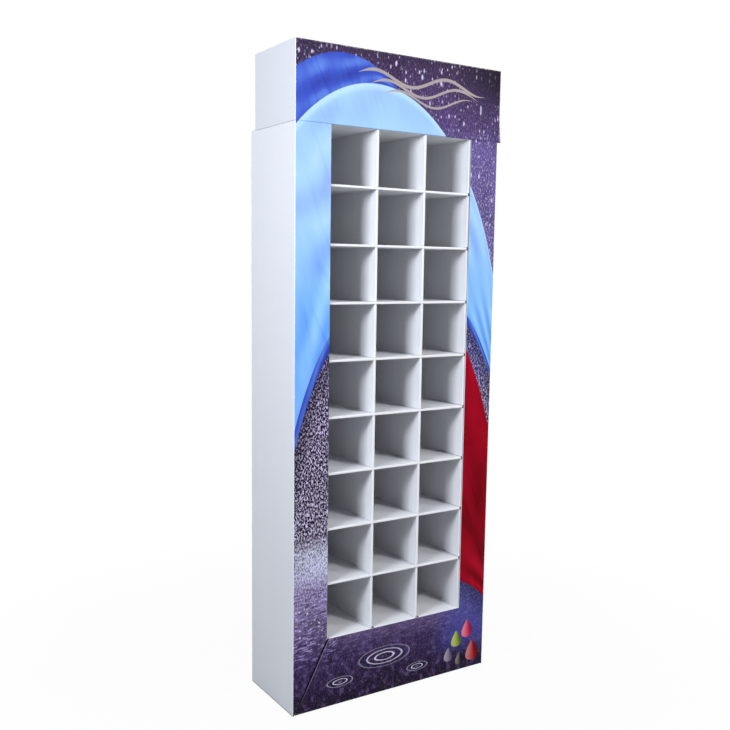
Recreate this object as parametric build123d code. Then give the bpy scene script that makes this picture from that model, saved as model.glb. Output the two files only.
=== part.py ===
from build123d import *
import os

# Cardboard display stand: a folded outer body, a slotted grid of cells inside it and a folded
# header on top. Millimetres, +Z up, the front faces -Y. The origin lies on the ground, in the
# middle of the body's footprint.

# Board and folds
board = 3.0             # thickness of one sheet
fold_radius = 2.5       # outside of a fold
panel_gap = 0.5         # between a free edge and the panel beside it

# Outer body
body_width = 600.0
body_depth = 232.0
body_height = 1430.0    # ground to the seam under the header
apron_height = 180.0    # ground to the floor of the lowest cells
side_bay = 87.75        # outside of the body to the middle of the grid's outer wall
left_lap = 7.75         # front strip past the middle of the wall behind it
right_lap = -1.25
mitre_gap = 0.5         # strip's foot above the line of a closed mitre
mitre_open_top = 7.0    # end of the apron short of the left mitre, at its upper end
mitre_open_foot = 4.0   # the same at its foot
floor_ear = 12.0        # floor past the middle of the grid's outer wall
leg_gap = 0.5           # foot of the floor's rear leg above the bottom panel

# Cell grid, each card one sheet folded double
rows = 9
columns = 3
grid_setback = 4.0      # front of the body to the front edges of the grid
grid_rear_gap = 3.0     # rear edges of the grid to the inside of the back
nose_radius = 1.6       # rounded front edge of a folded card
slot_gap = 0.5          # room in a slot beside the card that it takes
end_reach = 2.5         # shelf end into the slot of an outer wall
tab_length = 40.0       # tabs that hold the uprights in the floor
tab_depth = 9.0
tab_inset = 18.0        # rear edge of an upright to its rear tab
tab_step = 1.0          # front edge of an upright to its front tab
mortise_front = 2.0     # a divider's front mortise past the divider's front edge

# Header
header_height = 182.0
header_overhang = 5.8   # past the right side of the body
header_setback = 24.0   # back of the body to the back of the header
corner_flare = 6.0      # lower right corner, curled outwards
flare_height = 95.0
wing_gap = 0.8          # seam between a wing and the side wall under it

# Places that follow from the sizes above
card = 2 * board
bend = min(fold_radius, 0.9 * board)
nose = min(nose_radius, 0.45 * card)
half_width = body_width / 2
front = -body_depth / 2
back = body_depth / 2
inside_x = half_width - board - panel_gap
base_half_width = inside_x - panel_gap
strip_left_edge = -half_width + side_bay + left_lap
strip_right_edge = half_width - side_bay - right_lap
column_pitch = (body_width - 2 * side_bay) / columns
row_pitch = (body_height - apron_height) / rows
upright_places = [(i - columns / 2) * column_pitch for i in range(columns + 1)]
shelf_places = [apron_height + i * row_pitch for i in range(1, rows)]
grid_front = front + grid_setback
grid_back = back - board - grid_rear_gap
grid_middle = (grid_front + grid_back) / 2
floor_half_width = upright_places[-1] + floor_ear
header_top = body_height + header_height
header_back = back - header_setback
header_right = half_width + header_overhang


def block(x, y, z):
    """A box between the two ends given for each axis."""
    size = Box(x[1] - x[0], y[1] - y[0], z[1] - z[0], align=(Align.MIN, Align.MIN, Align.MIN))
    return Pos(x[0], y[0], z[0]) * size


def rectangle(u, v):
    """A flat rectangle between the two ends given for each of its own axes."""
    return Pos(u[0], v[0]) * Rectangle(u[1] - u[0], v[1] - v[0], align=(Align.MIN, Align.MIN))


def along_x(section, x):
    """A section drawn in Y and Z, drawn out between two places along X."""
    plane = Plane(origin=(x[0], 0, 0), x_dir=(0, 1, 0), z_dir=(1, 0, 0))
    return extrude(plane * section, x[1] - x[0])


def along_y(section, y):
    """A section drawn in X and Z, drawn out between two places along Y."""
    plane = Plane(origin=(0, y[0], 0), x_dir=(1, 0, 0), z_dir=(0, -1, 0))
    return extrude(plane * section, -(y[1] - y[0]))


def case_walls():
    """Back, side walls and front strips: one wrap with four upright folds."""
    outline = RectangleRounded(body_width, body_depth, bend)
    hollow = Rectangle(body_width - 2 * board, body_depth - 2 * board)
    mouth = rectangle((strip_left_edge, strip_right_edge), (front - board, front + 2 * board))
    return extrude(outline - hollow - mouth, body_height)


def strip_foot(edge):
    """What the mitre takes off the foot of the strip that ends at this edge."""
    side = 1 if edge > 0 else -1
    corner = side * inside_x
    past = edge - side * board
    profile = make_face(Polyline(
        (corner, -board), (corner, mitre_gap), (edge, apron_height + mitre_gap),
        (past, apron_height + mitre_gap), (past, -board), close=True))
    return along_y(profile, (front - board, front + board + panel_gap))


def apron_end(edge, short_top, short_foot):
    """What the mitre takes off the end of the apron beside the strip that ends at this edge."""
    side = 1 if edge > 0 else -1
    foot = side * (base_half_width - short_foot)
    head = edge - side * short_top
    outside = side * body_width
    profile = make_face(Polyline(
        (foot, -board), (foot, 0), (head, apron_height), (head, apron_height + board),
        (outside, apron_height + board), (outside, -board), close=True))
    return along_y(profile, (front - board, front + board + panel_gap))


def base_wrap():
    """Bottom panel, apron, floor of the lowest cells and its rear leg, folded in one run."""
    leg_back = back - board - panel_gap
    outline = rectangle((front, leg_back), (0, apron_height))
    folds = [v for v in outline.vertices() if not (v.X > 0 and v.Y < board)]
    outline = fillet(folds, bend)
    hollow = rectangle((front + board, leg_back - board), (board, apron_height - board))
    foot = rectangle((leg_back - board, leg_back), (board, board + leg_gap))
    rear = rectangle((leg_back - board, back), (0, 3 * board))
    rear = fillet([v for v in rear.vertices() if v.X > leg_back and v.Y < board], bend)
    rear -= rectangle((leg_back - 2 * board, back - board), (board, 4 * board))
    wrap = along_x(outline - hollow - foot + rear, (-base_half_width, base_half_width))
    wrap -= apron_end(strip_left_edge, mitre_open_top, mitre_open_foot)
    wrap -= apron_end(strip_right_edge, 0, 0)
    for ends in ((-body_width, -floor_half_width), (floor_half_width, body_width)):
        wrap -= block(ends, (front + board, leg_back + panel_gap / 2),
                      (board + leg_gap / 2, apron_height + board))
    return wrap


def mortises():
    """Slots in the floor for the tabs of the uprights."""
    cuts = []
    half = (card + slot_gap) / 2
    rear_end = grid_back - tab_inset
    depth = (apron_height - 2 * board, apron_height + board)
    for place in upright_places:
        divider = abs(place) < upright_places[-1]
        start = grid_front - mortise_front if divider else grid_front + tab_step - slot_gap
        end = grid_front + tab_step + tab_length + slot_gap
        across = (place - half, place + half)
        cuts.append(block(across, (start, end), depth))
        cuts.append(block(across, (rear_end - tab_length - slot_gap, rear_end + slot_gap), depth))
    return cuts


def top_flap():
    """The head of the back, folded forwards over the grid as far as the header."""
    section = rectangle((header_back + panel_gap, back), (body_height, body_height + board))
    fold = [v for v in section.vertices() if v.X > header_back + board and v.Y > body_height]
    return along_x(fillet(fold, bend), (-inside_x, inside_x))


def make_body():
    """The whole outer sheet."""
    walls = case_walls()
    walls -= strip_foot(strip_left_edge)
    walls -= strip_foot(strip_right_edge)
    walls -= block((-inside_x, inside_x), (back - 2 * board, back + board), (-board, 2 * board))
    return walls + base_wrap() + top_flap() - mortises()


def make_upright(place):
    """One card standing from the floor to the header, with slots for the shelves."""
    section = Pos(place, (grid_front + grid_back) / 2) * Rectangle(card, grid_back - grid_front)
    corners = [v for v in section.vertices() if v.Y < grid_middle]
    upright = Pos(0, 0, apron_height) * extrude(
        fillet(corners, nose), body_height - apron_height)
    across = (place - card, place + card)
    for level in shelf_places:
        upright -= block(across, (grid_front - board, grid_middle + slot_gap / 2),
                         (level - card / 2, level + card / 2 + slot_gap))
    thickness = (place - card / 2, place + card / 2)
    reach = (apron_height - tab_depth, apron_height)
    front_tab = grid_front + tab_step
    rear_tab = grid_back - tab_inset
    upright += block(thickness, (front_tab, front_tab + tab_length), reach)
    upright += block(thickness, (rear_tab - tab_length, rear_tab), reach)
    return upright


def make_shelf(level):
    """One card lying across the uprights, its ends in the slots of the outer walls."""
    wall_face = upright_places[-1] - card / 2
    half_length = wall_face + end_reach
    section = Pos((grid_front + grid_back) / 2, level) * Rectangle(grid_back - grid_front, card)
    corners = [v for v in section.vertices() if v.X < grid_middle]
    shelf = along_x(fillet(corners, nose), (-half_length, half_length))
    behind = (grid_middle - slot_gap / 2, grid_back + board)
    height = (level - card, level + card)
    half = (card + slot_gap) / 2
    for place in upright_places[1:-1]:
        shelf -= block((place - half, place + half), behind, height)
    for side in (-1, 1):
        ends = sorted((side * (wall_face - slot_gap / 2), side * (half_length + board)))
        shelf -= block(ends, behind, height)
    return shelf


def header_outline():
    """The front panel in X and Z: its right edge curls outwards at its foot."""
    start = body_height + flare_height
    foot = header_right + corner_flare
    curl = TangentArc((header_right, start), (foot, body_height), tangent=(0, -1))
    rest = Polyline((foot, body_height), (-half_width, body_height), (-half_width, header_top),
                    (header_right, header_top), (header_right, start))
    return make_face(curl.edges() + rest.edges())


def make_header():
    """Front, wings, top, back and the ceiling of the top cells."""
    outline = header_outline()
    inner = Pos(-board, 0) * outline
    left = (-half_width, -half_width + board)
    between = (left[1] + panel_gap, header_right - board - panel_gap)
    depth = (front, header_back)
    header = along_y(outline, (front, front + board))
    header += along_y(outline - inner, depth)
    header += block(left, depth, (body_height, header_top))
    header -= block((-body_width, body_width), (front + board, back),
                    (body_height - board, body_height + wing_gap))
    header += block(between, depth, (header_top - board, header_top))
    header += block(between, (header_back - board, header_back), (body_height, header_top))
    header += block(between, (front, header_back - board - panel_gap),
                    (body_height, body_height + board))
    folds = [e for e in header.edges() if max(v.Y for v in e.vertices()) < front + bend / 2]
    folds += [e for e in header.edges().filter_by(Axis.X)
              if e.center().Y > header_back - bend / 2 and e.center().Z > header_top - bend / 2]
    return fillet(folds, bend)


os.makedirs("parts", exist_ok=True)
export_step(make_body(), "parts/body.step")
export_step(make_header(), "parts/header.step")
for number, place in enumerate(upright_places, 1):
    export_step(make_upright(place), f"parts/upright_{number}.step")
for number, level in enumerate(shelf_places, 1):
    export_step(make_shelf(level), f"parts/shelf_{number}.step")
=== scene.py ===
import math
import bpy
from mathutils import Matrix, Vector

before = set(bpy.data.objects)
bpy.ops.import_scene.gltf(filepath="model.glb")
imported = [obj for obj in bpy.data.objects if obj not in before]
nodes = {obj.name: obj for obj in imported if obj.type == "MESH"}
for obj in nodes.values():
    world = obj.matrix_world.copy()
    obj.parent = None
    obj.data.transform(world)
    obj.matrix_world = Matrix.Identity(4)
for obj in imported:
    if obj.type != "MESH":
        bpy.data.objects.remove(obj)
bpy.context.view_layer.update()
scene = bpy.context.scene
scene.view_settings.view_transform = "Standard"

# Places on the stand, in metres
FRONT = -0.116            # plane of the printed front
CASE_HALF = 0.300         # half the width of the case
MOUTH_LEFT = -0.2045      # edges of the opening in the front
MOUTH_RIGHT = 0.2135
APRON_TOP = 0.180
HEADER_FOOT = 1.430
HEADER_TOP = 1.612
HEADER_RIGHT = 0.3058     # the header overhangs the case on this side
BOARD = 0.003             # thickness of the sheet
FOLD = 0.0025             # outside radius of a fold
FLUTE_PITCH = 0.0066      # waves of the corrugated core under the liner
MITRE_FOOT = -0.2920      # end of the apron along the open mitre, at the ground
MITRE_HEAD = -0.1975      # the same at the apron's top
DIVIDERS = (-0.07075, 0.07075)
GRID_FRONT = -0.112       # front edges of the cards
WALL_FACE = 0.2090        # inner faces of the grid's outer walls, from the stand's middle
ROWS = 9
ROW_PITCH = (HEADER_FOOT - APRON_TOP) / ROWS
SLOT_HALF = 0.0036        # half the height of a slot that holds the end of a shelf
SLOT_REAR = -0.005        # these slots reach back to here
EDGE = 0.0003             # an edge of print or of a cut softens over this width

# Bare board: colours and specular level as the shader takes them
WHITE_LINER = (0.765, 0.775, 0.80, 1)
SHADED_SIDE_LINER = (0.57, 0.583, 0.617, 1)      # side walls of the case and wings of the header, greyed as painted shade
CARD_LINER = (0.732, 0.742, 0.772, 1)     # cards of the grid
NOSE_HIGHLIGHT_LINER = (0.83, 0.835, 0.85, 1)     # their folded front edges, lighter as a painted highlight
GREYED = 0.92                             # share of its brightness that a grey streak keeps
LINER_SHEEN = 0.22
PRINT_SHEEN = 0.05

# Camera, fitted to the stand's corners in the photograph
PICTURE_SIDE = 730        # pixels
FOCAL_LENGTH = 907.5      # pixels
HORIZON_SHIFT = 13.75     # pixels
SENSOR = 36               # millimetres
CAMERA_PLACE = (-1.2984, -1.9889, 1.0985)
HEADING, TILT, ROLL = -32.564, -6.952, -0.785     # degrees

# Lamps, each with its place, aim, size, watts and colour, and the dim fill of the room
COOL_LIGHT = (0.93, 0.965, 1.035)
PLAIN_LIGHT = (0.98, 0.985, 1.0)
FRONT_AIM = (0, -0.1, 0.8)
LAMPS = {
    "key": ((-1.980, -0.800, 1.70), (0, -0.1, 1.05), (0.66, 0.50), 51, COOL_LIGHT),
    "front_right": ((1.798, -1.837, 2.3), FRONT_AIM, (0.42, 0.6), 24, PLAIN_LIGHT),
    "front_high": ((0.780, -2.480, 2.8), FRONT_AIM, (0.42, 0.6), 48, PLAIN_LIGHT),
    "rear": ((1.1, 2.4, 2.3), (0, 0.1, 0.8), (0.6, 0.6), 36, PLAIN_LIGHT),
}
ROOM_FILL = 0.01
FLOOR_SIDE = 60
FLOOR_LEVEL = -0.0005     # a hair under the stand's foot
FLOOR_GREY = (0.6, 0.6, 0.6, 1)


def ink(red, green, blue):
    """A printed colour, given as it looks on a screen, as the shader wants it."""
    def straight(value):
        value /= 255
        return value / 12.92 if value <= 0.04045 else ((value + 0.055) / 1.055) ** 2.4
    return (straight(red), straight(green), straight(blue), 1)


# Rain of the print by height, from 0 at the ground to 1 at the header's top
RAIN_TONES = (
    (0.00, ink(26, 14, 36)), (0.03, ink(42, 27, 62)), (0.08, ink(60, 42, 88)),
    (0.14, ink(116, 100, 142)), (0.195, ink(154, 142, 188)), (0.225, ink(204, 207, 240)),
    (0.252, ink(212, 216, 240)), (0.275, ink(108, 98, 126)), (0.36, ink(74, 58, 92)),
    (0.50, ink(84, 68, 112)), (0.72, ink(99, 85, 146)), (0.875, ink(98, 83, 144)),
    (0.90, ink(80, 59, 116)), (0.94, ink(70, 50, 98)), (1.00, ink(52, 34, 66)))
SPRAY_SHARES = (
    (0.0, 0.04), (0.11, 0.08), (0.17, 0.28), (0.21, 0.55), (0.25, 0.70), (0.29, 1.0),
    (0.50, 0.92), (0.62, 0.50), (0.80, 0.30), (0.88, 0.18), (0.93, 0.10), (1.0, 0.05))

# Falling drops: width and length of a drop's cell, share of cells, reach in a cell, brightness
RAIN_DROPS = (
    (0.0080, 0.0150, 0.34, (0.16, 0.30), 0.55),
    (0.0140, 0.0300, 0.40, (0.13, 0.27), 0.85),
    (0.0260, 0.0560, 0.32, (0.08, 0.16), 1.00))

# Satin, from the bottom of a fold to its crest
AZURE_SATIN = (
    (0.0, ink(84, 136, 230)), (0.25, ink(110, 166, 240)), (0.5, ink(130, 188, 246)),
    (0.75, ink(148, 203, 249)), (1.0, ink(184, 223, 252)))
DEEP_BLUE_SATIN = (
    (0.0, ink(38, 46, 138)), (0.5, ink(58, 82, 188)), (1.0, ink(102, 142, 224)))
CRIMSON_SATIN = (
    (0.0, ink(88, 1, 12)), (0.25, ink(126, 2, 20)), (0.5, ink(152, 5, 30)),
    (0.75, ink(170, 10, 38)), (1.0, ink(200, 36, 62)))

# Arches that bound the sweeps: centre in x and z, half width, height
AZURE_OUTER = ((-0.080, 0.80), 0.41, 0.735)
AZURE_INNER = ((0.020, 0.38), 0.360, 0.710)
DEEP_BLUE_BACK = ((-0.170, 0.85), 0.37, 0.745)
DEEP_BLUE_HEM = ((0.025, 0.37), 0.356, 0.690)
CRIMSON_OUTER = ((-0.05, 0.25), 0.400, 0.850)
CRIMSON_INNER = ((0.10, -0.05), 0.300, 0.330)

# Rings of water on the apron: centre in x and z, radius, count of waves
WATER_RINGS = (
    ((-0.030, 0.096), 0.100, 4), ((-0.165, 0.058), 0.052, 3), ((0.075, 0.044), 0.046, 3))

# Coloured drops on the apron: centre in x and z, radius, colour
DYED_DROPS = (
    ((0.180, 0.052), 0.0130, ink(128, 116, 146)), ((0.206, 0.092), 0.0150, ink(156, 176, 40)),
    ((0.243, 0.114), 0.0165, ink(222, 50, 104)), ((0.262, 0.048), 0.0190, ink(178, 16, 24)),
    ((0.219, 0.034), 0.0125, ink(34, 22, 42)))


class Field:
    """A value that changes over a surface, kept as a node socket, with the sums done on it."""

    def __init__(self, tree, socket):
        self.tree = tree
        self.socket = socket

    def calc(self, operation, *others):
        node = self.tree.nodes.new("ShaderNodeMath")
        node.operation = operation
        for slot, value in zip(node.inputs, (self,) + others):
            feed(self.tree, slot, value)
        return Field(self.tree, node.outputs[0])

    def __add__(self, other):
        return self.calc("ADD", other)

    def __sub__(self, other):
        return self.calc("SUBTRACT", other)

    def __mul__(self, other):
        return self.calc("MULTIPLY", other)

    def __truediv__(self, other):
        return self.calc("DIVIDE", other)

    def absolute(self):
        return self.calc("ABSOLUTE")

    def root(self):
        return self.calc("SQRT")

    def sine(self):
        return self.calc("SINE")

    def most(self, other):
        return self.calc("MAXIMUM", other)

    def rise(self, low, high, start=0, end=1):
        """Goes smoothly from start to end while the value goes from low to high."""
        node = self.tree.nodes.new("ShaderNodeMapRange")
        node.interpolation_type = "SMOOTHSTEP"
        for slot, value in zip(node.inputs, (self, low, high, start, end)):
            feed(self.tree, slot, value)
        return Field(self.tree, node.outputs[0])

    def inside(self, low, high, soft):
        """One between low and high, and none a little way outside them."""
        return self.rise(low - soft, low) * self.rise(high + soft, high)


def feed(tree, slot, value):
    """Puts a number or colour on a socket, or links a field to it."""
    if isinstance(value, Field):
        tree.links.new(value.socket, slot)
    else:
        slot.default_value = value


def fresh_tree(owner, kind):
    """An empty node tree for a material or world, and the surface socket of its new output."""
    owner.use_nodes = True
    tree = owner.node_tree
    tree.nodes.clear()
    return tree, tree.nodes.new(kind).inputs["Surface"]


def spread(tree, across, along):
    """A flat vector made of two fields."""
    node = tree.nodes.new("ShaderNodeCombineXYZ")
    feed(tree, node.inputs[0], across)
    feed(tree, node.inputs[1], along)
    return Field(tree, node.outputs[0])


def mottle(tree, across, along, detail=3.0, roughness=0.55):
    """Soft noise between 0 and 1 over two fields that are already scaled."""
    node = tree.nodes.new("ShaderNodeTexNoise")
    node.noise_dimensions = "2D"
    feed(tree, node.inputs["Vector"], spread(tree, across, along))
    node.inputs["Scale"].default_value = 1
    node.inputs["Detail"].default_value = detail
    node.inputs["Roughness"].default_value = roughness
    return Field(tree, node.outputs[0])


def blend(share, under, over):
    """One colour laid over another by a share between 0 and 1."""
    tree = share.tree
    node = tree.nodes.new("ShaderNodeMix")
    node.data_type = "RGBA"
    feed(tree, node.inputs[0], share)
    feed(tree, node.inputs[6], under)
    feed(tree, node.inputs[7], over)
    return Field(tree, node.outputs[2])


def shade(value, stops):
    """A colour read off a ramp of (place, colour) stops."""
    node = value.tree.nodes.new("ShaderNodeValToRGB")
    ramp = node.color_ramp
    while len(ramp.elements) < len(stops):
        ramp.elements.new(0.5)
    for element, (place, colour) in zip(ramp.elements, stops):
        element.position = place
        element.color = colour
    feed(value.tree, node.inputs[0], value)
    return Field(value.tree, node.outputs[0])


def level(value, stops):
    """A number read off a ramp of (place, number) stops."""
    return shade(value, [(place, (n, n, n, 1)) for place, n in stops])


def drops(x, z, width, length, share, reach):
    """Rain drops as short upright flecks: their cover and a random brightness for each."""
    tree = x.tree
    node = tree.nodes.new("ShaderNodeTexVoronoi")
    node.voronoi_dimensions = "2D"
    feed(tree, node.inputs["Vector"], spread(tree, x * (1 / width), z * (1 / length)))
    node.inputs["Scale"].default_value = 1
    parts = tree.nodes.new("ShaderNodeSeparateColor")
    tree.links.new(node.outputs["Color"], parts.inputs[0])
    there = Field(tree, parts.outputs[0]).calc("LESS_THAN", share)
    radius = Field(tree, parts.outputs[1]) * (reach[1] - reach[0]) + reach[0]
    cover = Field(tree, node.outputs["Distance"]).rise(radius, radius * 0.35) * there
    return cover, Field(tree, parts.outputs[2])


def stormy_ground(x, z, height):
    """The violet ground with its clouds, its stains at the foot and a bluish cast on the right."""
    clouds = mottle(x.tree, x * 9, z * 7, 4)
    stains = mottle(x.tree, x * 58, z * 44, 4)
    foot = height.rise(0.15, 0.06)
    bluish = height.inside(0.07, 0.15, 0.05).most(height.inside(0.52, 0.64, 0.05))
    tone = shade(height, RAIN_TONES)
    colour = blend(clouds.rise(0.40, 0.75, 0, 0.45), tone, ink(30, 20, 46))
    colour = blend(stains.rise(0.50, 0.78) * foot * 0.5, colour, ink(118, 96, 146))
    colour = blend(stains.rise(0.46, 0.26) * foot * 0.7, colour, ink(18, 10, 26))
    return blend(x.rise(0.10, 0.22) * bluish * 0.7, colour, ink(74, 78, 162))


def add_spray(x, z, height, ground):
    """Fine specks of spray, pale and dark."""
    specks = mottle(x.tree, x * 265, z * 150, 2, 0.7)
    pale = level(height, SPRAY_SHARES)
    dark = pale * x.rise(0.08, 0.20, 1, 0.4)
    colour = blend(specks.rise(0.53, 0.62) * pale, ground, ink(216, 208, 232))
    return blend(specks.rise(0.50, 0.43) * dark, colour, ink(17, 10, 24))


def add_rain(x, z, height, ground):
    """Falling drops, from a fine drizzle to a few large ones."""
    colour = ground
    above_splash = height.rise(0.16, 0.24)
    for width, length, share, reach, bright in RAIN_DROPS:
        cover, chance = drops(x, z, width, length, share, reach)
        strength = chance.rise(0, 1, 0.10, bright) * above_splash
        colour = blend(cover * strength, colour, ink(216, 208, 242))
    return colour


def add_ripples(x, z, height, ground):
    """Wet ripples and beads of water near the foot, strongest on the left."""
    ripples = mottle(x.tree, x * 38 + z * 34, z * 190 - x * 26, 3)
    wet = height.inside(0.10, 0.18, 0.04) * x.rise(-0.15, -0.21, 0.25, 1)
    colour = blend(ripples.rise(0.54, 0.68) * wet * 0.8, ground, ink(172, 156, 214))
    colour = blend(ripples.rise(0.46, 0.34) * wet * 0.7, colour, ink(50, 35, 80))
    cover, chance = drops(x, z, 0.0105, 0.0095, 0.42, (0.14, 0.34))
    beaded = height.inside(0.12, 0.22, 0.03) * x.rise(-0.1, -0.2, 0.2, 1)
    return blend(cover * chance * beaded, colour, ink(236, 228, 248))


def rainy_ground(x, z):
    """Violet rain: a dark ground, spray and drops, a bright splash and wet ripples at the foot."""
    height = z * (1 / HEADER_TOP)
    colour = stormy_ground(x, z, height)
    colour = add_spray(x, z, height, colour)
    colour = add_rain(x, z, height, colour)
    return add_ripples(x, z, height, colour)


def arch(x, z, centre, half_width, height):
    """One on the rim of an upright ellipse, less inside it and more outside."""
    across = (x - centre[0]) * (1 / half_width)
    up = (z - centre[1]) * (1 / height)
    return (across * across + up * up).root()


def sweep(x, z, outer, inner):
    """The crescent between two arches: its cover, and the place from inner to outer rim."""
    over = arch(x, z, *outer)
    under = arch(x, z, *inner)
    cover = over.rise(1.0025, 0.9985) * under.rise(0.9985, 1.0025)
    past_inner = (under - 1).most(0)
    to_outer = (over * -1 + 1).most(0)
    return cover, past_inner / (past_inner + to_outer + 0.001)


def satin(x, z, place, folds, stops):
    """Cloth folds that run along a sweep and lose themselves here and there."""
    tree = x.tree
    sway = mottle(tree, x * 4, z * 2.2, 1)
    slack = mottle(tree, x * 8 + 4, z * 3.5, 1).rise(0.34, 0.62)
    broad = (place * (folds * 2 * math.pi) + sway * 11).sine() * 0.5 + 0.5
    fine = mottle(tree, x * 26 + z * 9, z * 5 - x * 6, 2)
    tone = (broad - 0.5) * slack.rise(0, 1, 0.3, 1) * 0.56 + fine * 0.36 + 0.32
    pleat = mottle(tree, x * 22 + z * 9, z * 2.4 - x * 2, 0)
    return shade(tone - pleat.inside(0.47, 0.50, 0.06) * slack * 0.11, stops)


def sweep_shadow(x, z, lower, upper, start):
    """Shade on the ground under a sweep: it starts inside the lower arch and ends at the upper."""
    return arch(x, z, *lower).rise(start, 1.0) * arch(x, z, *upper).rise(1.0, 0.99) * 0.6


def blue_sweep(x, z, ground):
    """A broad azure sweep over the opening, and its deep blue back above and below it."""
    upper = z.rise(0.50, 0.52)
    shadow = sweep_shadow(x, z, DEEP_BLUE_HEM, AZURE_OUTER, 0.86) * upper
    colour = blend(shadow, ground, ink(20, 13, 34))
    cover, place = sweep(x, z, DEEP_BLUE_BACK, AZURE_OUTER)
    colour = blend(cover * upper, colour, satin(x, z, place, 1.3, DEEP_BLUE_SATIN))
    cover, place = sweep(x, z, AZURE_INNER, DEEP_BLUE_HEM)
    colour = blend(cover * upper, colour, satin(x, z, place, 0.7, DEEP_BLUE_SATIN))
    cover, place = sweep(x, z, AZURE_OUTER, AZURE_INNER)
    cloth = satin(x, z, place, 3.0, AZURE_SATIN)
    cloth = blend(z.rise(1.15, 0.60) * 0.45, cloth, ink(74, 132, 230))
    cloth = blend(z.rise(0.95, 1.30) * 0.42, cloth, ink(188, 208, 236))
    cloth = blend(place.rise(0.955, 0.99) * 0.5, cloth, ink(196, 230, 255))
    return blend(cover * upper, colour, cloth)


def red_sweep(x, z, ground):
    """A crimson sweep beside the lower cells on the right."""
    right = x.rise(0.0, 0.02)
    shadow = sweep_shadow(x, z, CRIMSON_INNER, CRIMSON_OUTER, 0.80) * right
    colour = blend(shadow, ground, ink(20, 10, 28))
    cover, place = sweep(x, z, CRIMSON_OUTER, CRIMSON_INNER)
    return blend(cover * right, colour, satin(x, z, place, 2.4, CRIMSON_SATIN))


def dyed_drop(x, z, place, radius, tint, ground):
    """A drop of colour, round below and drawn to a point above, paler on its left."""
    up = (z - place[1]) * (1 / (1.5 * radius))
    across = (x - place[0]) * (1 / radius) / (up * -0.62 + 1).most(0.2)
    rim = (across * across + up * up).root()
    colour = blend(across.rise(0.5, -1.0, 0, 0.25), tint, ink(255, 240, 240))
    colour = blend(across.rise(-0.2, 1.0, 0, 0.75), colour, ink(22, 8, 26))
    return blend(rim.rise(1.03, 0.97), ground, colour)


def stroke(x, z, start, end, middle, swing, length, width):
    """A thin waved line, tapered to both ends."""
    wave = ((x - start) * (2 * math.pi / length)).sine() * swing + middle
    taper = x.rise(start, start + 0.05) * x.rise(end, end - 0.07)
    off = (z - wave).absolute()
    return off.rise(taper * width, taper * (width * 0.55)) * taper.rise(0.02, 0.1)


def silver_lines(x, z, ground):
    """Three waved lines on the header, each shorter and finer than the one above it."""
    colour = ground
    for row in range(3):
        line = stroke(x, z, start=-0.140 + 0.035 * row, end=0.262 - 0.02 * row,
                      middle=1.553 - 0.021 * row, swing=0.0150, length=0.215,
                      width=0.0050 - 0.0008 * row)
        colour = blend(line * 0.95, colour, ink(168, 158, 156))
    return colour


def rings(x, z, centre, radius, count):
    """Ripples of a drop on water, seen aslant, fainter towards their rim."""
    out = arch(x, z, centre, radius, radius * 0.34)
    stir = mottle(x.tree, x * 60, z * 90, 2)
    wave = (out * (2 * math.pi * count) + stir * 1.2).sine()
    return wave.rise(0.62, 0.92) * out.rise(1.0, 0.35) * out.rise(0.05, 0.10)


def front_print(x, z):
    """The whole print of the front, header, strips and apron together."""
    colour = rainy_ground(x, z)
    corner = x.rise(0.10, 0.31) * z.rise(1.45, 1.60)
    colour = blend(corner * 0.9, colour, ink(14, 6, 22))
    colour = blue_sweep(x, z, colour)
    colour = red_sweep(x, z, colour)
    colour = silver_lines(x, z, colour)
    for centre, radius, count in WATER_RINGS:
        colour = blend(rings(x, z, centre, radius, count) * 0.9, colour, ink(228, 224, 244))
    for place, radius, tint in DYED_DROPS:
        colour = dyed_drop(x, z, place, radius, tint, colour)
    return colour


def surface(tree):
    """Place and facing of the shaded point, as fields."""
    coords = tree.nodes.new("ShaderNodeTexCoord")
    out = []
    for name in ("Object", "Normal"):
        parts = tree.nodes.new("ShaderNodeSeparateXYZ")
        tree.links.new(coords.outputs[name], parts.inputs[0])
        out += [Field(tree, socket) for socket in parts.outputs]
    return out


def corrugation(x, y, z, turned_x):
    """Faint washboard of the core, upright on walls and front to back on shelves."""
    tree = x.tree
    across = x * (turned_x.absolute() * -1 + 1) + y * turned_x.absolute()
    drift = mottle(tree, across * 5, z * 3, 2)
    waves = (across * (2 * math.pi / FLUTE_PITCH) + drift * 6).sine() * 0.5 + 0.5
    fibre = mottle(tree, across * 420, (z + y) * 260, 2)
    return across, waves, fibre


def mouth_edge(x, z):
    """The two upright edges of the opening and what lies between them."""
    margin = 0.001
    return (x.inside(MOUTH_LEFT, MOUTH_RIGHT, EDGE)
            * z.inside(APRON_TOP + margin, HEADER_FOOT - margin, margin / 2))


def print_cover(x, y, z):
    """The printed part of the outer sheet: its flat front, and the folds the ink runs over."""
    hair = 0.0001
    foot = z.rise(FOLD, FOLD * 0.9)
    top = z.rise(HEADER_TOP - FOLD * 1.1, HEADER_TOP - FOLD)
    header_foot = z.inside(HEADER_FOOT - hair, HEADER_FOOT + FOLD, hair)
    right = x.rise(CASE_HALF - FOLD * 1.1, CASE_HALF - FOLD)
    off_left_corner = x.rise(-CASE_HALF + 0.001, -CASE_HALF + 0.002)
    over_fold = (foot.most(top).most(header_foot) * off_left_corner).most(right)
    depth = over_fold * FOLD + mouth_edge(x, z) * (2 * hair) + hair
    return (y - FRONT).rise(depth + EDGE, depth)


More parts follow.
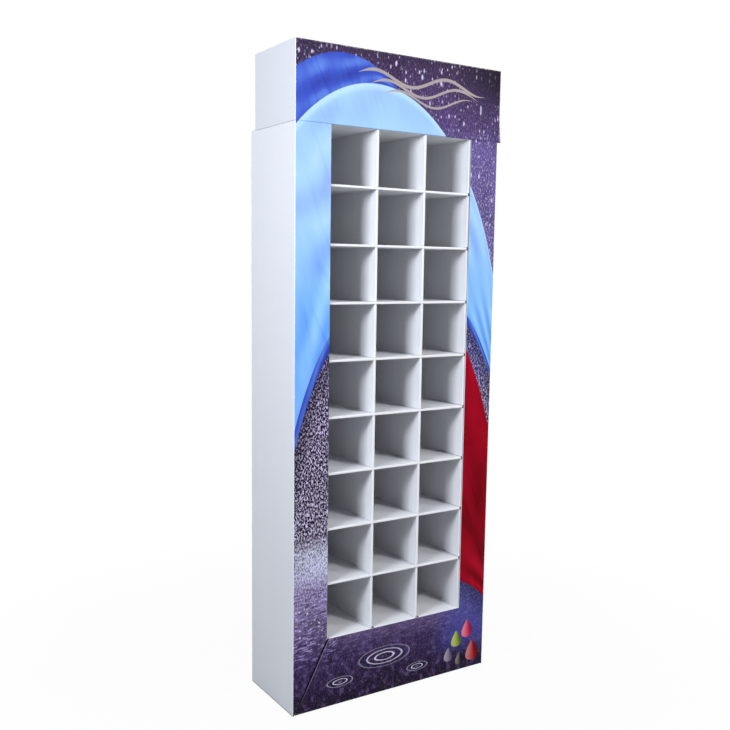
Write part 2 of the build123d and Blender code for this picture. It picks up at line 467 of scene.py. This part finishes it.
def shaded_cut_core(x, y, z, turned_x, turned_z, waves, colour):
    """The waved core between the liners where the front sheet is cut, with painted shade:
    near-black hollows, the mitre's whole cut face darkened, and the opening's lips dark on the
    upper rows only.
    """
    mitre_shade = (turned_x * turned_z).absolute().rise(0.25, 0.30)
    lip_shade = mouth_edge(x, z) * turned_x.absolute().rise(0.90, 0.95) * z.rise(1.02, 1.16)
    core = (y - FRONT).inside(0.0012, BOARD - 0.0005, 0.0002) * lip_shade
    shaded_flutes = blend(waves, ink(26, 18, 28), ink(70, 60, 66))
    return blend(core.most(mitre_shade) * 0.94, colour, shaded_flutes)


def mitre_highlight(x, z):
    """A painted highlight: a pale line along the apron's end beside the open mitre on the left,
    where its edge catches the light.
    """
    past = x - (z * ((MITRE_HEAD - MITRE_FOOT) / APRON_TOP) + MITRE_FOOT)
    ends = z.rise(APRON_TOP, APRON_TOP - 0.003) * z.rise(0.02, 0.09)
    return past.inside(0.0, 0.0012, 0.0004) * ends


def shelf_tip_shade(x, y, z):
    """Painted shade: the ends of the shelves and their slots darkened on the grid's outer walls.
    """
    soft = 0.0004
    row = ((z - APRON_TOP) * (1 / ROW_PITCH) + 0.5).calc("FRACT") - 0.5
    in_slot = row.absolute().rise((SLOT_HALF + soft) / ROW_PITCH, SLOT_HALF / ROW_PITCH)
    between_ends = z.inside(0.25, 1.38, 0.01)
    on_wall = x.absolute().rise(WALL_FACE, WALL_FACE + soft)
    return on_wall * in_slot * between_ends * y.rise(SLOT_REAR + 0.001, SLOT_REAR - 0.001)


def slot_end_shade(x, y, z):
    """Painted shade: dark patches on the floor in front of the two dividers, over the ends of the
    floor's slots and beside them.
    """
    skin = 0.0006
    left, right = (x.inside(place - 0.0032, place + 0.0085, EDGE) for place in DIVIDERS)
    on_floor = z.inside(APRON_TOP - skin, APRON_TOP + skin, skin)
    return left.most(right) * y.inside(FRONT + skin, GRID_FRONT + 0.0050, EDGE) * on_floor


def fold_wear(x, z):
    """Flecks of bare white along the outer folds of the front."""
    right = z.rise(HEADER_FOOT - 0.0005, HEADER_FOOT + 0.0005, CASE_HALF, HEADER_RIGHT)
    out = (x * -1 - CASE_HALF).most(x - right).most(z * -1).most(z - HEADER_TOP)
    flecks = mottle(x.tree, x * 700, z * 260, 2)
    return out.rise(-0.0034, -0.0012) * flecks.rise(0.56, 0.66)


def shade_side_panels(z, turned_x, colour):
    """Painted shade on faces that look sideways: a greyer liner on the side walls, and in full on
    the wings above them.
    """
    side = turned_x.absolute().rise(0.7, 0.9)
    share = z.rise(HEADER_FOOT, HEADER_FOOT + 0.0006, 0.68, 1.0)
    return blend(side * share, colour, SHADED_SIDE_LINER)


def foot_shade(z, streaks, colour):
    """Painted shade: a grey band along the foot where the stand meets the ground, broken up by
    streaks.
    """
    foot_shadow = z.rise(0.0042, 0.0010) * streaks.rise(0.2, 0.6, 0.35, 0.75)
    return blend(foot_shadow, colour, ink(96, 92, 98))


def board(name, printed):
    """Corrugated board with a white liner: the printed outer sheet, or a card of the grid."""
    material = bpy.data.materials.new(name)
    tree, output = fresh_tree(material, "ShaderNodeOutputMaterial")
    shader = tree.nodes.new("ShaderNodeBsdfPrincipled")
    shader.inputs["Specular IOR Level"].default_value = LINER_SHEEN
    tree.links.new(shader.outputs["BSDF"], output)
    x, y, z, turned_x, _, turned_z = surface(tree)
    across, waves, fibre = corrugation(x, y, z, turned_x)
    clouds = mottle(tree, across * 7, z * 3 + y * 5, 2)
    streaks = mottle(tree, across * 90, z * 2 + y * 6, 2)
    liner = WHITE_LINER if printed else CARD_LINER
    grey = tuple(part * GREYED for part in liner[:3]) + (1,)
    tint = clouds.rise(0.3, 0.75) * 0.25 + streaks.rise(0.35, 0.7) * 0.25 + waves * 0.10
    colour = blend(tint, liner, grey)
    rough = clouds.rise(0.3, 0.7, 0.52, 0.64)
    if printed:
        # painted shade: the side walls and wings greyed
        colour = shade_side_panels(z, turned_x, colour)
        # painted shade along the foot
        colour = foot_shade(z, streaks, colour)
        # painted shade in the cut core and over the mitre's cut face
        colour = shaded_cut_core(x, y, z, turned_x, turned_z, waves, colour)
        # painted shade at the slot ends in front of the dividers
        colour = blend(slot_end_shade(x, y, z) * 0.9, colour, ink(22, 18, 24))
        cover = print_cover(x, y, z) * (fold_wear(x, z) * -1 + 1)
        # the picture carries a painted highlight along the mitre's edge
        picture = blend(mitre_highlight(x, z) * 0.5, front_print(x, z), ink(176, 160, 190))
        colour = blend(cover, colour, picture)
        sheen = cover * (PRINT_SHEEN - LINER_SHEEN) + LINER_SHEEN
        feed(tree, shader.inputs["Specular IOR Level"], sheen)
        rough = rough - cover * 0.10
    else:
        # painted highlight: the cards' front edges lighter than their faces
        nose_highlight = y.rise(GRID_FRONT + 0.0022, GRID_FRONT + 0.0012)
        colour = blend(nose_highlight, colour, NOSE_HIGHLIGHT_LINER)
        # painted shade in the slots at the shelves' ends
        colour = blend(shelf_tip_shade(x, y, z) * 0.9, colour, ink(34, 30, 36))
    feed(tree, shader.inputs["Base Color"], colour)
    feed(tree, shader.inputs["Roughness"], rough)
    bump = tree.nodes.new("ShaderNodeBump")
    bump.inputs["Strength"].default_value = 0.35
    bump.inputs["Distance"].default_value = 0.00008
    feed(tree, bump.inputs["Height"], waves + fibre * 0.35)
    tree.links.new(bump.outputs[0], shader.inputs["Normal"])
    return material


def dress_nodes():
    """Printed board on the body and the header, plain white board on the grid."""
    printed_board = board("printed_board", True)
    white_board = board("white_board", False)
    for name, node in nodes.items():
        node.data.materials.clear()
        node.data.materials.append(printed_board if name in ("body", "header") else white_board)


def add_camera():
    """The photograph's place and lens."""
    turn = (Matrix.Rotation(math.radians(HEADING), 3, "Z")
            @ Matrix.Rotation(math.radians(TILT), 3, "X")
            @ Matrix.Rotation(math.radians(ROLL), 3, "Y"))
    right, ahead, up = turn.col[0], turn.col[1], turn.col[2]
    data = bpy.data.cameras.new("camera")
    data.sensor_width = SENSOR
    data.lens = FOCAL_LENGTH * SENSOR / PICTURE_SIDE
    data.shift_y = HORIZON_SHIFT / PICTURE_SIDE
    camera = bpy.data.objects.new("camera", data)
    scene.collection.objects.link(camera)
    pose = Matrix((right, up, -ahead)).transposed().to_4x4()
    pose.translation = Vector(CAMERA_PLACE)
    camera.matrix_world = pose
    scene.camera = camera


def add_softbox(name, place, aim, size, watts, colour):
    """A rectangular lamp, turned towards its aim."""
    data = bpy.data.lights.new(name, "AREA")
    data.shape = "RECTANGLE"
    data.size, data.size_y = size
    data.energy = watts
    data.color = colour
    lamp = bpy.data.objects.new(name, data)
    scene.collection.objects.link(lamp)
    lamp.location = place
    lamp.rotation_euler = (Vector(aim) - Vector(place)).to_track_quat("-Z", "Y").to_euler()


def seen_ray(tree):
    """One for rays that show the background itself, straight, mirrored or through glass."""
    path = tree.nodes.new("ShaderNodeLightPath")
    seen = Field(tree, path.outputs["Is Camera Ray"])
    for other in ("Is Glossy Ray", "Is Transmission Ray"):
        seen = seen.most(Field(tree, path.outputs[other]))
    return seen


def add_world():
    """White where the background is seen, a dim even fill for all other light."""
    world = bpy.data.worlds.new("studio")
    scene.world = world
    tree, output = fresh_tree(world, "ShaderNodeOutputWorld")
    mix = tree.nodes.new("ShaderNodeMixShader")
    feed(tree, mix.inputs[0], seen_ray(tree))
    for slot, strength in ((1, ROOM_FILL), (2, 1.0)):
        light = tree.nodes.new("ShaderNodeBackground")
        light.inputs["Color"].default_value = (1, 1, 1, 1)
        light.inputs["Strength"].default_value = strength
        tree.links.new(light.outputs[0], mix.inputs[slot])
    tree.links.new(mix.outputs[0], output)


def add_floor():
    """A pale floor that melts into the white background and keeps a faint shadow."""
    bpy.ops.object.select_all(action="DESELECT")
    bpy.ops.mesh.primitive_plane_add(size=FLOOR_SIDE, location=(0, 0, FLOOR_LEVEL))
    floor = bpy.context.object
    floor.name = "floor"
    material = bpy.data.materials.new("pale_floor")
    tree, output = fresh_tree(material, "ShaderNodeOutputMaterial")
    matt = tree.nodes.new("ShaderNodeBsdfDiffuse")
    matt.inputs["Color"].default_value = FLOOR_GREY
    glow = tree.nodes.new("ShaderNodeEmission")
    glow.inputs["Strength"].default_value = 1
    x, y = surface(tree)[:2]
    away = (x * x + y * y).root()
    mix = tree.nodes.new("ShaderNodeMixShader")
    feed(tree, mix.inputs[0], seen_ray(tree) * away.rise(0.35, 1.6, 0.955, 1.0))
    tree.links.new(matt.outputs[0], mix.inputs[1])
    tree.links.new(glow.outputs[0], mix.inputs[2])
    tree.links.new(mix.outputs[0], output)
    floor.data.materials.append(material)


dress_nodes()
add_camera()
add_world()
add_floor()
for lamp_name, setting in LAMPS.items():
    add_softbox(lamp_name, *setting)
